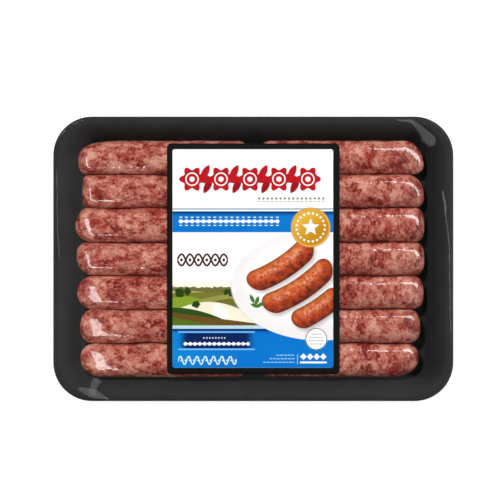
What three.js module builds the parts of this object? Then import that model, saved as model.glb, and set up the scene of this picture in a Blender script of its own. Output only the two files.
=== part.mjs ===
// A shop pack of raw breakfast sausages. Fourteen links lie in a black foam tray, in two
// columns of seven rows. Clear film is wrapped tight over the tray and sealed under it, and a
// rectangular label lies on the film across the middle.
//
// Millimetres, +Z up. The pack rests on the XY plane with the origin under its middle. +X runs
// along the tray and along the links, and +Y runs from the last row of links to the first.

import * as THREE from "three";

// ---- Driving dimensions ----

const PACK_LENGTH = 216; // along X, over the film at the rim
const PACK_WIDTH = 153; // along Y, over the film at the rim
const PACK_CORNER = 21; // radius of the pack's corners, seen from above
const CORNER_TAPER = 0.8; // what a corner's radius loses for each mm that the outline moves in
const SMALLEST_CORNER = 3; // radius that is left to the innermost outlines

const FIT_GAP = 0.3; // between pieces that touch
const FILM_THICKNESS = 0.4;
const FOAM_THICKNESS = 2.5;
const RIM_HEIGHT = 20; // top of the tray's rim
const RIM_LAND = 1.9; // from the pack's outline to where the rim's top starts to round over
const FLOOR_INSET = 14.8; // from the pack's outline to the foot of the tray's wall, inside
const WALL_FOOT_RISE = 0.9; // height of the fillet between floor and wall
const WALL_CONTROL_INSET = 7.4; // where the wall's curve would meet the height of the rim
const BASE_INSET = 12.6; // from the pack's outline to the foot of the tray's wall, outside
const BASE_FILLET = 1.6; // between the tray's underside and its wall, outside

const ROWS = 7;
const ROW_PITCH = 18.25; // along Y
const LINK_HEIGHT = 17.6;
const LINK_SQUARENESS = 2.3; // exponent of a link's section: 2 is an ellipse, more is squarer
const LINK_END_HEIGHT_CAP = 8; // length over which a link's height rounds off to its tip
const LINK_END_LIFT = 1.2; // how far a tip rides up, where it leans on the tray's wall
const INNER_END = { cap: 7, bluntness: 2.2 }; // ends that meet under the label
const LEFT_INNER_TIP = -1.9; // X of the left column's inner ends
const RIGHT_INNER_TIP = 2.5;

const FILM_LEAVES_LIP = THREE.MathUtils.degToRad(30); // angle down round the lip

const LABEL_LENGTH = 93; // along X
const LABEL_WIDTH = 124.4; // along Y
const LABEL_CORNER = 2.4;
const LABEL_THICKNESS = 0.3;

const SEAM_LENGTH = 150; // slit where the film's two edges meet, under the tray
const SEAM_GAP = 1.2;
const SEAM_OFFSET = 24; // along Y, from the pack's middle

// Outer ends of the links, from the first row to the last. tip is the end's X, lean is how far
// the tip lies from the row's middle along Y, capUp and capDown are the lengths over which the
// +Y and the -Y side round off, and bluntness is 2 for a round end and more for a square one.
const LEFT_ENDS = [
  { tip: -94.6, lean: -1.6, capUp: 22, capDown: 5, bluntness: 2.6 },
  { tip: -92.6, lean: -0.6, capUp: 4, capDown: 4, bluntness: 3 },
  { tip: -96.2, lean: -1.4, capUp: 6.5, capDown: 9, bluntness: 1.9 },
  { tip: -95.6, lean: 2, capUp: 5, capDown: 9, bluntness: 2.1 },
  { tip: -95.2, lean: 0, capUp: 8.5, capDown: 8.5, bluntness: 2 },
  { tip: -93.6, lean: 0, capUp: 7, capDown: 6.5, bluntness: 2.2 },
  { tip: -93.4, lean: 1.4, capUp: 9, capDown: 12, bluntness: 2.2 },
];
const RIGHT_ENDS = [
  { tip: 92.1, lean: -3, capUp: 12, capDown: 5, bluntness: 2.1 },
  { tip: 92.3, lean: -2.8, capUp: 10, capDown: 6, bluntness: 2.2 },
  { tip: 92.5, lean: 0, capUp: 5.5, capDown: 5.5, bluntness: 2.6 },
  { tip: 92.5, lean: -0.5, capUp: 5.5, capDown: 6.5, bluntness: 2.6 },
  { tip: 92.1, lean: -0.5, capUp: 6, capDown: 6, bluntness: 2.4 },
  { tip: 90.3, lean: -0.5, capUp: 6.5, capDown: 7, bluntness: 2.4 },
  { tip: 89.3, lean: 1, capUp: 7, capDown: 16, bluntness: 2.3 },
];

// ---- Fineness of the facets ----

const CORNER_STEPS = 8;
const WALL_STEPS = 6;
const LIP_STEPS = 3; // the lip's arc gets twice as many facets
const LINK_SIDES = 14;
const LINK_CAP_STEPS = 6;
const LABEL_CORNER_STEPS = 4;

// ---- Worked-out places ----

const TRAY_BOTTOM = FILM_THICKNESS + FIT_GAP;
const FLOOR_TOP = TRAY_BOTTOM + FOAM_THICKNESS;
const LINK_MIDDLE = FLOOR_TOP + FIT_GAP + LINK_HEIGHT / 2;
const LINK_TOP = LINK_MIDDLE + LINK_HEIGHT / 2;
const LABEL_BOTTOM = LINK_TOP + FIT_GAP + FILM_THICKNESS + FIT_GAP;

// The middle of a row along Y. Row 0 is the first.
function rowMiddle(row) {
  return ((ROWS - 1) / 2 - row) * ROW_PITCH;
}

// ---- Outlines and lofts ----

// A rounded rectangle as a ring of points at height z, counter-clockwise seen from above.
function roundedRectangle(halfLength, halfWidth, radius, z, middleY = 0) {
  const corners = [
    [1, -1],
    [1, 1],
    [-1, 1],
    [-1, -1],
  ];
  return corners.flatMap(([signX, signY], corner) => {
    const centreX = signX * (halfLength - radius);
    const centreY = middleY + signY * (halfWidth - radius);
    const startAngle = ((corner - 1) * Math.PI) / 2;
    return Array.from({ length: CORNER_STEPS + 1 }, (_, step) => {
      const angle = startAngle + (step / CORNER_STEPS) * (Math.PI / 2);
      return new THREE.Vector3(
        centreX + radius * Math.cos(angle),
        centreY + radius * Math.sin(angle),
        z,
      );
    });
  });
}

// The pack's outline moved in by a distance, at height z.
function packRing(inset, z) {
  const radius = Math.max(PACK_CORNER - CORNER_TAPER * inset, SMALLEST_CORNER);
  return roundedRectangle(PACK_LENGTH / 2 - inset, PACK_WIDTH / 2 - inset, radius, z);
}

// One ring for each point of a profile, whose x is minus the inset and whose y is the height.
function ringsOfProfile(profile) {
  return profile.map((point) => packRing(-point.x, point.y));
}

// A closed surface from a first point, through rings of equal count, to a last point. Seen from
// the side that faces out, each ring runs counter-clockwise about the first point.
function loft(firstPoint, rings, lastPoint) {
  const count = rings[0].length;
  const lastRing = rings.length - 1;
  const lastIndex = 1 + rings.length * count;
  const indexOf = (ring, step) => 1 + ring * count + (step % count);
  const indices = [];
  for (let step = 0; step < count; step += 1) {
    indices.push(0, indexOf(0, step), indexOf(0, step + 1));
    for (let ring = 0; ring < lastRing; ring += 1) {
      const here = indexOf(ring, step);
      const hereNext = indexOf(ring, step + 1);
      const beyond = indexOf(ring + 1, step);
      const beyondNext = indexOf(ring + 1, step + 1);
      indices.push(beyond, beyondNext, hereNext, beyond, hereNext, here);
    }
    indices.push(lastIndex, indexOf(lastRing, step + 1), indexOf(lastRing, step));
  }
  const points = [firstPoint, ...rings.flat(), lastPoint];
  const geometry = new THREE.BufferGeometry();
  geometry.setAttribute("position", new THREE.Float32BufferAttribute(points.flatMap((p) => p.toArray()), 3));
  geometry.setIndex(indices);
  geometry.computeVertexNormals();
  return geometry;
}

// Moves an open profile to its left by a distance, keeping its corners mitred.
function offsetProfile(profile, distance) {
  return profile.map((point, index) => {
    const before = profile[Math.max(index - 1, 0)];
    const after = profile[Math.min(index + 1, profile.length - 1)];
    const directionIn = point.clone().sub(before).normalize();
    const directionOut = after.clone().sub(point).normalize();
    const along = directionIn.clone().add(directionOut).normalize();
    const normal = new THREE.Vector2(-along.y, along.x);
    const edge = index === 0 ? directionOut : directionIn;
    const mitre = normal.dot(new THREE.Vector2(-edge.y, edge.x));
    return point.clone().addScaledVector(normal, distance / mitre);
  });
}

function namedMesh(name, geometry, material) {
  const mesh = new THREE.Mesh(geometry, material);
  mesh.name = name;
  return mesh;
}

// ---- Tray ----

// The inside of the tray's wall, from the fillet at its foot to the top of the rim.
function wallCurve() {
  const foot = new THREE.Vector2(-FLOOR_INSET, FLOOR_TOP + WALL_FOOT_RISE);
  const control = new THREE.Vector2(-WALL_CONTROL_INSET, RIM_HEIGHT);
  const rim = new THREE.Vector2(-RIM_LAND - FIT_GAP - FILM_THICKNESS, RIM_HEIGHT);
  return new THREE.QuadraticBezierCurve(foot, control, rim).getPoints(WALL_STEPS);
}

// The rounded outer edge of the rim, from its top round to an angle below the horizontal.
function lipCurve(angleBelow) {
  const outerInset = FIT_GAP + FILM_THICKNESS;
  const radius = FOAM_THICKNESS / 2;
  const lip = new THREE.Path();
  lip.absarc(-outerInset - radius, RIM_HEIGHT - radius, radius, Math.PI / 2, -angleBelow, true);
  return lip.getPoints(LIP_STEPS);
}

// The edge between the tray's outer wall and its underside.
function baseEdge() {
  return [
    new THREE.Vector2(-BASE_INSET, TRAY_BOTTOM + BASE_FILLET),
    new THREE.Vector2(-BASE_INSET - BASE_FILLET, TRAY_BOTTOM),
  ];
}

function trayGeometry() {
  const wall = wallCurve();
  const floorEdge = new THREE.Vector2(-FLOOR_INSET - WALL_FOOT_RISE, FLOOR_TOP);
  const underside = offsetProfile([...wall].reverse(), FOAM_THICKNESS).filter(
    (point) => point.x > -BASE_INSET && point.x < -RIM_LAND - FOAM_THICKNESS,
  );
  const profile = [floorEdge, ...wall, ...lipCurve(Math.PI / 2), ...underside, ...baseEdge()];
  const floorMiddle = new THREE.Vector3(0, 0, FLOOR_TOP);
  const baseMiddle = new THREE.Vector3(0, 0, TRAY_BOTTOM);
  return loft(floorMiddle, ringsOfProfile(profile), baseMiddle);
}

// ---- Links ----

// How full a cap is at a share of its length from the tip: 0 at the tip, 1 where it ends.
function capFullness(share, bluntness) {
  const rest = 1 - Math.min(share, 1);
  return (1 - rest ** bluntness) ** (1 / bluntness);
}

// A link's two sides, half height and lift at a distance from one of its tips.
function endSection(end, distance) {
  const halfWidth = (ROW_PITCH - FIT_GAP) / 2;
  const fullUp = capFullness(distance / end.capUp, end.bluntness);
  const fullDown = capFullness(distance / end.capDown, end.bluntness);
  const fullHeight = capFullness(distance / LINK_END_HEIGHT_CAP, end.bluntness);
  return {
    up: end.lean + (halfWidth - end.lean) * fullUp,
    down: end.lean - (halfWidth + end.lean) * fullDown,
    halfHeight: (LINK_HEIGHT / 2) * fullHeight,
    lift: LINK_END_LIFT * (1 - fullHeight),
  };
}

// A section of a link as a ring of points, counter-clockwise seen from -X.
function linkRing(x, row, section) {
  const middleY = rowMiddle(row) + (section.up + section.down) / 2;
  const halfWidth = (section.up - section.down) / 2;
  const rounding = 2 / LINK_SQUARENESS;
  return Array.from({ length: LINK_SIDES }, (_, side) => {
    const angle = (side / LINK_SIDES) * 2 * Math.PI;
    const across = Math.sign(Math.cos(angle)) * Math.abs(Math.cos(angle)) ** rounding;
    const upwards = Math.sign(Math.sin(angle)) * Math.abs(Math.sin(angle)) ** rounding;
    return new THREE.Vector3(
      x,
      middleY - halfWidth * across,
      LINK_MIDDLE + section.lift + section.halfHeight * upwards,
    );
  });
}

// The rings of one end, from its tip inwards.
function endRings(end, row, inwards) {
  const longestCap = Math.max(end.capUp, end.capDown, LINK_END_HEIGHT_CAP);
  return Array.from({ length: LINK_CAP_STEPS }, (_, step) => {
    const angle = ((step + 1) / LINK_CAP_STEPS) * (Math.PI / 2);
    const distance = longestCap * (1 - Math.cos(angle));
    return linkRing(end.tip + inwards * distance, row, endSection(end, distance));
  });
}

function tipPoint(end, row) {
  return new THREE.Vector3(end.tip, rowMiddle(row) + end.lean, LINK_MIDDLE + LINK_END_LIFT);
}

// One link between its -X end and its +X end.
function linkGeometry(lowEnd, highEnd, row) {
  const rings = [...endRings(lowEnd, row, 1), ...endRings(highEnd, row, -1).reverse()];
  return loft(tipPoint(lowEnd, row), rings, tipPoint(highEnd, row));
}

function innerEnd(tip) {
  return { tip, lean: 0, capUp: INNER_END.cap, capDown: INNER_END.cap, bluntness: INNER_END.bluntness };
}

function linkMeshes(material) {
  return Array.from({ length: ROWS }, (_, row) => {
    const left = linkGeometry(LEFT_ENDS[row], innerEnd(LEFT_INNER_TIP), row);
    const right = linkGeometry(innerEnd(RIGHT_INNER_TIP), RIGHT_ENDS[row], row);
    return [
      namedMesh(`link_left_${row + 1}`, left, material),
      namedMesh(`link_right_${row + 1}`, right, material),
    ];
  }).flat();
}

// ---- Film ----

// What the film is stretched over: the tops of the links, the rim's lip and the tray's base.
function wrappedProfile() {
  const outerRowInset = PACK_WIDTH / 2 - rowMiddle(0);
  const topEdge = new THREE.Vector2(-outerRowInset, LINK_TOP);
  return [topEdge, ...lipCurve(FILM_LEAVES_LIP), ...baseEdge()];
}

// One face of the film at a distance outside what it wraps, from the middle of the top to the
// slit under the base.
function filmFace(distance) {
  const profile = offsetProfile(wrappedProfile(), distance);
  profile[0].y = LINK_TOP + distance;
  profile[profile.length - 1].y = TRAY_BOTTOM - distance;
  const slit = roundedRectangle(
    SEAM_LENGTH / 2,
    SEAM_GAP / 2,
    SEAM_GAP / 2,
    TRAY_BOTTOM - distance,
    SEAM_OFFSET,
  );
  return [...ringsOfProfile(profile), slit];
}

function filmGeometry() {
  const innerDistance = FIT_GAP;
  const outerDistance = FIT_GAP + FILM_THICKNESS;
  const rings = [...filmFace(outerDistance), ...filmFace(innerDistance).reverse()];
  const topOutside = new THREE.Vector3(0, 0, LINK_TOP + outerDistance);
  const topInside = new THREE.Vector3(0, 0, LINK_TOP + innerDistance);
  return loft(topOutside, rings, topInside);
}

// ---- Label ----

function labelGeometry() {
  const halfLength = LABEL_LENGTH / 2;
  const halfWidth = LABEL_WIDTH / 2;
  const outline = new THREE.Shape();
  outline.absarc(halfLength - LABEL_CORNER, LABEL_CORNER - halfWidth, LABEL_CORNER, -Math.PI / 2, 0);
  outline.absarc(halfLength - LABEL_CORNER, halfWidth - LABEL_CORNER, LABEL_CORNER, 0, Math.PI / 2);
  outline.absarc(LABEL_CORNER - halfLength, halfWidth - LABEL_CORNER, LABEL_CORNER, Math.PI / 2, Math.PI);
  outline.absarc(LABEL_CORNER - halfLength, LABEL_CORNER - halfWidth, LABEL_CORNER, Math.PI, 1.5 * Math.PI);
  return new THREE.ExtrudeGeometry(outline, {
    depth: LABEL_THICKNESS,
    bevelEnabled: false,
    curveSegments: LABEL_CORNER_STEPS,
  });
}

// ---- Materials and assembly ----

const foam = new THREE.MeshStandardMaterial({ color: 0x26272a, roughness: 0.45, metalness: 0 });
const rawPork = new THREE.MeshStandardMaterial({ color: 0xa55f52, roughness: 0.35, metalness: 0 });
const clearFilm = new THREE.MeshStandardMaterial({
  color: 0xf4f6f8,
  roughness: 0.08,
  metalness: 0,
  transparent: true,
  opacity: 0.15,
});
const printedLabel = new THREE.MeshStandardMaterial({ color: 0xf2f4f6, roughness: 0.4, metalness: 0 });

const label = namedMesh("label", labelGeometry(), printedLabel);
label.position.z = LABEL_BOTTOM;

const pack = new THREE.Group();
pack.add(namedMesh("tray", trayGeometry(), foam));
pack.add(...linkMeshes(rawPork));
pack.add(namedMesh("film", filmGeometry(), clearFilm));
pack.add(label);

export default pack;
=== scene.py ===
"""Looks of a shop pack of raw breakfast sausages: fourteen links in a black foam tray, wrapped in
clear film, with a printed label across the middle. Metres, +Z up, +X along the links."""

import math

import bpy
import numpy as np
from mathutils import Matrix, Vector


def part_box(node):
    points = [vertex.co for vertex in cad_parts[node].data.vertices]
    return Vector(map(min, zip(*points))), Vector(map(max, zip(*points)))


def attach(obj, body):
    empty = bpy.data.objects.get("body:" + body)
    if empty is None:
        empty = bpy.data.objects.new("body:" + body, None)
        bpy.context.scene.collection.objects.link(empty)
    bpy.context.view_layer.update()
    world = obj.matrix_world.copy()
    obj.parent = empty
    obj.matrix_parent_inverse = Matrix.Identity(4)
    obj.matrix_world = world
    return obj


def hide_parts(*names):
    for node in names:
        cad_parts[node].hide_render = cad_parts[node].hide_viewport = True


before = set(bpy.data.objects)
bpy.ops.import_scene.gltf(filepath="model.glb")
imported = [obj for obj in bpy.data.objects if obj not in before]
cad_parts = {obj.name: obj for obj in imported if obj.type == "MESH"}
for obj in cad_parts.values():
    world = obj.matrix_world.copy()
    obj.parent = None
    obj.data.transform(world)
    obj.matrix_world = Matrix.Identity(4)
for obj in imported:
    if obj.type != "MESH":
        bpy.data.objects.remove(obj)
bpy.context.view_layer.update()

MM = 0.001

# ---- Places and sizes that the frame gives ----

_, FILM_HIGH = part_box("film")
TRAY_LOW, TRAY_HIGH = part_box("tray")
_, LABEL_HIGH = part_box("label")
WIDTH_EXCESS = 0.35 * MM  # of the photo's pack over the frame's, on each side
HALF_LENGTH = FILM_HIGH.x
HALF_WIDTH = FILM_HIGH.y + WIDTH_EXCESS
RIM_Z = TRAY_HIGH.z
TRAY_BASE_Z = TRAY_LOW.z
ROWS = 7
SIDES = ("left", "right")

# ---- Sizes of the looks ----

PACK_CORNER = 21 * MM  # radius of the pack's corners, seen from above
CORNER_TAPER = 0.8  # what a corner's radius loses as the outline moves in
SMALLEST_CORNER = 3 * MM
FOAM_THICKNESS = 2.5 * MM
LIP_INSET = 0.12 * MM  # from the film's outline to the foam
FLOOR_INSET = 14.8 * MM
FLOOR_Z = TRAY_BASE_Z + FOAM_THICKNESS
WALL_FOOT_RISE = 0.9 * MM
WALL_CONTROL_INSET = 7.4 * MM
BASE_INSET = 12.6 * MM
BASE_FILLET = 1.6 * MM

ROW_PITCH = 18.25 * MM
LINK_SQUARENESS = 2.3  # 2 gives an elliptic section, more a squarer one
LINK_RISE = 0.1 * MM  # of a link's middle over its middle in the frame
LINK_HALF_EXCESS = 0.25 * MM  # of half a link's height over half of it in the frame
LINK_END_LIFT = 1.2 * MM
INNER_END = (0, 7, 7, 2.2, 8)  # as the outer ends below
TOP_BLUNTNESS = 1.7  # of the ends, seen from the side

# Outer ends of the links from the first row to the last: lean of the tip along Y, lengths over
# which the +Y and the -Y side round off, bluntness, and the length over which the top rounds off.
# Lengths in mm.
OUTER_ENDS = {
    "left": [
        (-1.6, 22, 5, 2.6, 5.5),
        (-0.6, 4, 4, 3, 5.5),
        (-1.4, 6.5, 9, 1.9, 9.5),
        (2, 5, 9, 2.1, 8),
        (0, 8.5, 8.5, 2, 14),
        (0, 7, 6.5, 2.2, 15),
        (1.4, 9, 12, 2.2, 20),
    ],
    "right": [
        (-4.4, 10.5, 5, 2.0, 22),
        (-3.3, 9, 5, 2.1, 12),
        (0, 5.5, 5.5, 2.6, 10),
        (-0.5, 5.5, 6.5, 2.6, 9),
        (-0.5, 6, 6, 2.4, 11),
        (-0.5, 6.5, 7, 2.4, 11),
        (1, 7, 16, 2.3, 11),
    ],
}

# ---- Noise ----

LATTICE = 32  # cells after which the noise repeats


def unevenness(places, height, cell, seed):
    """Smooth noise up to a height at an array of points, with bumps the size of cell."""
    lattice = np.random.default_rng(seed).uniform(-1, 1, (LATTICE,) * 3)
    grid = np.asarray(places) / cell
    low = np.floor(grid).astype(int)
    share = grid - low
    share = share * share * (3 - 2 * share)
    total = np.zeros(grid.shape[:-1])
    for corner in np.ndindex(2, 2, 2):
        index = (low + corner) % LATTICE
        weight = np.prod(np.where(np.array(corner) == 1, share, 1 - share), axis=-1)
        total += weight * lattice[index[..., 0], index[..., 1], index[..., 2]]
    return height * total


def ease(value, low, high):
    """0 below low, 1 above high and smooth between."""
    share = np.clip((value - low) / (high - low), 0, 1)
    return share * share * (3 - 2 * share)


# ---- Meshes ----


def add_object(name, vertices, faces, material, smooth=True):
    mesh = bpy.data.meshes.new(name)
    mesh.from_pydata([tuple(v) for v in vertices], [], [tuple(f) for f in faces])
    mesh.polygons.foreach_set("use_smooth", [smooth] * len(mesh.polygons))
    mesh.materials.append(material)
    mesh.update()
    piece = bpy.data.objects.new(name, mesh)
    bpy.context.scene.collection.objects.link(piece)
    return piece


def ring_faces(ring_count, count):
    """Quads between neighbouring rings of a loft, whose points are numbered ring by ring."""
    ring, step = np.meshgrid(np.arange(ring_count - 1), np.arange(count), indexing="ij")
    after = (step + 1) % count
    near, far = ring * count, (ring + 1) * count
    corners = [far + step, far + after, near + after, near + step]
    return np.stack(corners, axis=-1).reshape(-1, 4).tolist()


def loft(rings):
    """Vertices and faces of a surface through rings, closed by a fan at either end."""
    rings = np.asarray(rings)
    ring_count, count = rings.shape[:2]
    vertices = rings.reshape(-1, 3).tolist()
    start, end = len(vertices), len(vertices) + 1
    vertices += [rings[0].mean(axis=0).tolist(), rings[-1].mean(axis=0).tolist()]
    last = (ring_count - 1) * count
    faces = ring_faces(ring_count, count)
    faces += [(start, step, (step + 1) % count) for step in range(count)]
    faces += [(end, last + (step + 1) % count, last + step) for step in range(count)]
    return vertices, faces


def pack_ring(inset, z, corner_steps, side_step):
    """A ring of points at height z round the pack's outline moved in by inset, counter-clockwise from
    above. The number of points doesn't depend on the inset, so that rings can be joined."""
    radius = max(PACK_CORNER - CORNER_TAPER * inset, SMALLEST_CORNER)
    radius = min(radius, HALF_WIDTH - inset)
    long_steps = max(1, round(2 * (HALF_LENGTH - PACK_CORNER) / side_step))
    short_steps = max(1, round(2 * (HALF_WIDTH - PACK_CORNER) / side_step))
    turns = [(1, -1, short_steps), (1, 1, long_steps), (-1, 1, short_steps), (-1, -1, long_steps)]
    reach = np.array([HALF_LENGTH - inset - radius, HALF_WIDTH - inset - radius])
    points = []
    for corner, (sign_x, sign_y, steps_after) in enumerate(turns):
        angles = (corner - 1 + np.linspace(0, 1, corner_steps + 1)) * math.pi / 2
        arc = reach * (sign_x, sign_y) + radius * np.stack([np.cos(angles), np.sin(angles)], axis=-1)
        end_angle = corner * math.pi / 2
        end_direction = np.array([math.cos(end_angle), math.sin(end_angle)])
        next_start = reach * turns[(corner + 1) % 4][:2] + radius * end_direction
        along = np.linspace(0, 1, steps_after + 1)[1:-1, None]
        points += [arc, arc[-1] + (next_start - arc[-1]) * along]
    flat = np.concatenate(points)
    return np.column_stack([flat, np.full(len(flat), z)])


# ---- Profiles, as pairs of inset and height ----


def bezier(start, control, end, steps):
    share = np.linspace(0, 1, steps + 1)[:, None]
    return (1 - share) ** 2 * start + 2 * share * (1 - share) * control + share**2 * end


def offset_profile(profile, distance):
    """The profile moved to its left by a distance."""
    along = np.gradient(profile, axis=0)
    along /= np.linalg.norm(along, axis=1, keepdims=True)
    return profile + distance * np.column_stack([along[:, 1], -along[:, 0]])


WALL_STEPS = 26
LIP_STEPS = 14
BASE_STEPS = 5


def wall_profile():
    foot = np.array([FLOOR_INSET, FLOOR_Z + WALL_FOOT_RISE])
    control = np.array([WALL_CONTROL_INSET, RIM_Z])
    rim = np.array([LIP_INSET + FOAM_THICKNESS, RIM_Z])
    return bezier(foot, control, rim, WALL_STEPS)


def lip_profile(radius, inset, from_angle, to_angle):
    """An arc round the edge of the rim. Angles are in degrees above the horizontal."""
    angles = np.radians(np.linspace(from_angle, to_angle, LIP_STEPS + 1))
    centre_inset = LIP_INSET + FOAM_THICKNESS / 2
    centre_z = RIM_Z - FOAM_THICKNESS / 2
    reach = radius + LIP_INSET - inset
    return np.column_stack([centre_inset - reach * np.cos(angles), centre_z + reach * np.sin(angles)])


def base_profile(drop):
    """The edge between the outer wall and the base, a distance outside the foam."""
    angles = np.radians(np.linspace(0, 90, BASE_STEPS + 1))
    across = BASE_INSET + BASE_FILLET - (BASE_FILLET + drop) * np.cos(angles)
    return np.column_stack([across, TRAY_BASE_Z + BASE_FILLET - (BASE_FILLET + drop) * np.sin(angles)])


# ---- Tray ----

TRAY_CORNER_STEPS = 20
TRAY_SIDE_STEP = 6 * MM
FILLET_STEPS = 6
FILLET_LENGTH = 2.4 * MM  # of the curve from the floor into the wall
FILLET_CONTROL = 0.5 * MM
FOOT_TRIM = 0.2 * MM  # left out of the wall's underside beside the base
LIP_TRIM = 0.4 * MM  # and beside the lip


def make_tray(material):
    wall = wall_profile()
    fillet_start = np.array([FLOOR_INSET + FILLET_LENGTH, FLOOR_Z])
    fillet_control = np.array([FLOOR_INSET + FILLET_CONTROL, FLOOR_Z])
    fillet = bezier(fillet_start, fillet_control, wall[0], FILLET_STEPS)[:-1]
    lip = lip_profile(FOAM_THICKNESS / 2, LIP_INSET, 90, -90)
    underside = offset_profile(wall[::-1], FOAM_THICKNESS)
    keep = (underside[:, 0] < BASE_INSET - FOOT_TRIM) & (underside[:, 0] > lip[-1, 0] + LIP_TRIM)
    profile = np.concatenate([fillet, wall, lip[1:], underside[keep], base_profile(0)])
    rings = [pack_ring(inset, z, TRAY_CORNER_STEPS, TRAY_SIDE_STEP) for inset, z in profile]
    return add_object("tray_foam", *loft(rings), material)


# ---- Links ----

LINK_CAP_STEPS = 26
LINK_BODY_STEP = 0.9 * MM
LINK_SIDES = 72
LINK_SEEDS = {"left": 0, "right": 40}
LINKS_APART = 0.1  # between neighbouring seeds' places in the noise
MINCE_REACH = 4  # edge of the cube of mince in which the links have their places
GRAIN = {"left": (0.82, 1.05, 1.05), "right": (1.12, 0.86, 0.9)}  # the mince's fineness along each axis
SWELL_START = 8 * MM  # distance from a tip over which the uneven swelling sets in

# Height, size and seed of what makes the links uneven.
SEAM_WAVE = (0.45 * MM, 14 * MM, 5)
SWELL = (0.16 * MM, 9 * MM, 11)
LUMPS = (0.07 * MM, 3.4 * MM, 12)
GRAINS = (0.022 * MM, 1.5 * MM, 13)


def cap_fullness(share, bluntness):
    """How full a cap is at a share of its length from the tip."""
    rest = 1 - np.minimum(share, 1)
    return (1 - rest**bluntness) ** (1 / bluntness)


def end_sections(distance, lean, cap_up, cap_down, bluntness, cap_top):
    """The two sides, the height's fullness and the lift at distances from a tip."""
    half = ROW_PITCH / 2
    full_up = cap_fullness(distance / MM / cap_up, bluntness)
    full_down = cap_fullness(distance / MM / cap_down, bluntness)
    full_height = cap_fullness(distance / MM / cap_top, TOP_BLUNTNESS)
    up = lean * MM + (half - lean * MM) * full_up
    down = lean * MM - (half + lean * MM) * full_down
    return up, down, full_height, LINK_END_LIFT * (1 - full_height)


def link_stations(low_x, high_x, low_cap, high_cap):
    """X of a link's rings, close together at its tips."""
    angles = np.linspace(0, math.pi / 2, LINK_CAP_STEPS + 1)[1:]
    near = 1 - np.cos(angles)
    low = low_x + low_cap * near
    high = high_x - high_cap * near[::-1]
    body_steps = max(2, round((high[0] - low[-1]) / LINK_BODY_STEP))
    body = np.linspace(low[-1], high[0], body_steps + 1)[1:-1]
    return np.concatenate([low, body, high])


def link_vertices(side, row):
    """Rings of one link, whose sides wave along the lines where it presses on its neighbours."""
    low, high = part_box(f"link_{side}_{row + 1}")
    middle_y = ((ROWS - 1) / 2 - row) * ROW_PITCH
    middle_z = (low.z + high.z) / 2 + LINK_RISE
    half_height = (high.z - low.z) / 2 + LINK_HALF_EXCESS
    outer = OUTER_ENDS[side][row]
    low_end, high_end = (outer, INNER_END) if side == "left" else (INNER_END, outer)
    caps = [max(end[1], end[2], end[4]) * MM for end in (low_end, high_end)]
    stations = link_stations(low.x, high.x, *caps)
    low_sections = end_sections(stations - low.x, *low_end)
    high_sections = end_sections(high.x - stations, *high_end)
    nearer_low = stations - low.x < high.x - stations
    up, down, fullness, lift = (np.where(nearer_low, a, b) for a, b in zip(low_sections, high_sections))
    seed = row + LINK_SEEDS[side]
    line_up = np.column_stack([stations, np.full(len(stations), middle_y + ROW_PITCH / 2), stations * 0])
    line_down = line_up - [0, ROW_PITCH, 0]
    wave_up = unevenness(line_up, *SEAM_WAVE) * (row > 0)
    wave_down = unevenness(line_down, *SEAM_WAVE) * (row < ROWS - 1)
    angles = np.arange(LINK_SIDES) / LINK_SIDES * 2 * math.pi
    power = 2 / LINK_SQUARENESS
    halves = (-np.cos(angles), np.sin(angles))
    across, upwards = (np.sign(half) * np.abs(half) ** power for half in halves)
    share_up = (1 + across[None, :]) / 2
    y = middle_y + up[:, None] * share_up + down[:, None] * (1 - share_up)
    y += (wave_up[:, None] * share_up + wave_down[:, None] * (1 - share_up)) * fullness[:, None]
    z = middle_z + lift[:, None] + half_height * fullness[:, None] * upwards[None, :]
    x = np.repeat(stations[:, None], LINK_SIDES, axis=1)
    rings = np.stack([x, y, z], axis=-1)
    outward = np.stack([x * 0, across + x * 0, upwards + x * 0], axis=-1)
    end_share = ease(np.minimum(stations - low.x, high.x - stations), 0, SWELL_START)[:, None]
    place = rings + [0, 0, seed * LINKS_APART]
    bulge = unevenness(place, *SWELL) * end_share + unevenness(place, *LUMPS) + unevenness(place, *GRAINS)
    rings += outward * bulge[..., None]
    return rings, seed


def make_link(side, row, material):
    rings, seed = link_vertices(side, row)
    vertices, faces = loft(rings)
    link = add_object(f"sausage_{side}_{row + 1}", vertices, faces, material)
    offset = np.random.default_rng(seed + 1).uniform(0, MINCE_REACH, 3)
    places = np.array(vertices) * GRAIN[side] + offset
    attribute = link.data.attributes.new("meat_place", "FLOAT_VECTOR", "POINT")
    attribute.data.foreach_set("vector", places.astype(np.float32).ravel())
    return link


# ---- Film ----

FILM_CORNER_STEPS = 48
FILM_SIDE_STEP = 2 * MM
FILM_LIFT = 0.12 * MM  # of the film over what it lies on
FILM_OUTLINE_INSET = -0.1 * MM  # below 0, because the film passes outside the outline
FILM_RIM_INSET = 2.4 * MM  # where the film comes off the top of the rim
FILM_FINE_INSET = 12 * MM  # nearer the outline than this, the rings on top lie closer
FILM_RING_STEP = 1.5 * MM
FILM_FINE_STEP = 0.8 * MM
FILM_LAST_RING = 1 * MM  # from the middle line to the innermost ring
FILM_LIP_END = -30  # degrees above the horizontal
FILM_WALL_STEPS = 15
FILM_BASE_GAP = 0.3 * MM
FILM_UNDER_STEPS = 29
FILM_UNDER_RIPPLE = (0.06 * MM, 9 * MM, 31)  # height, size and seed
GRID_STEP = 1 * MM
GRID_END = 1.001  # keeps the readings inside the last cells


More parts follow.
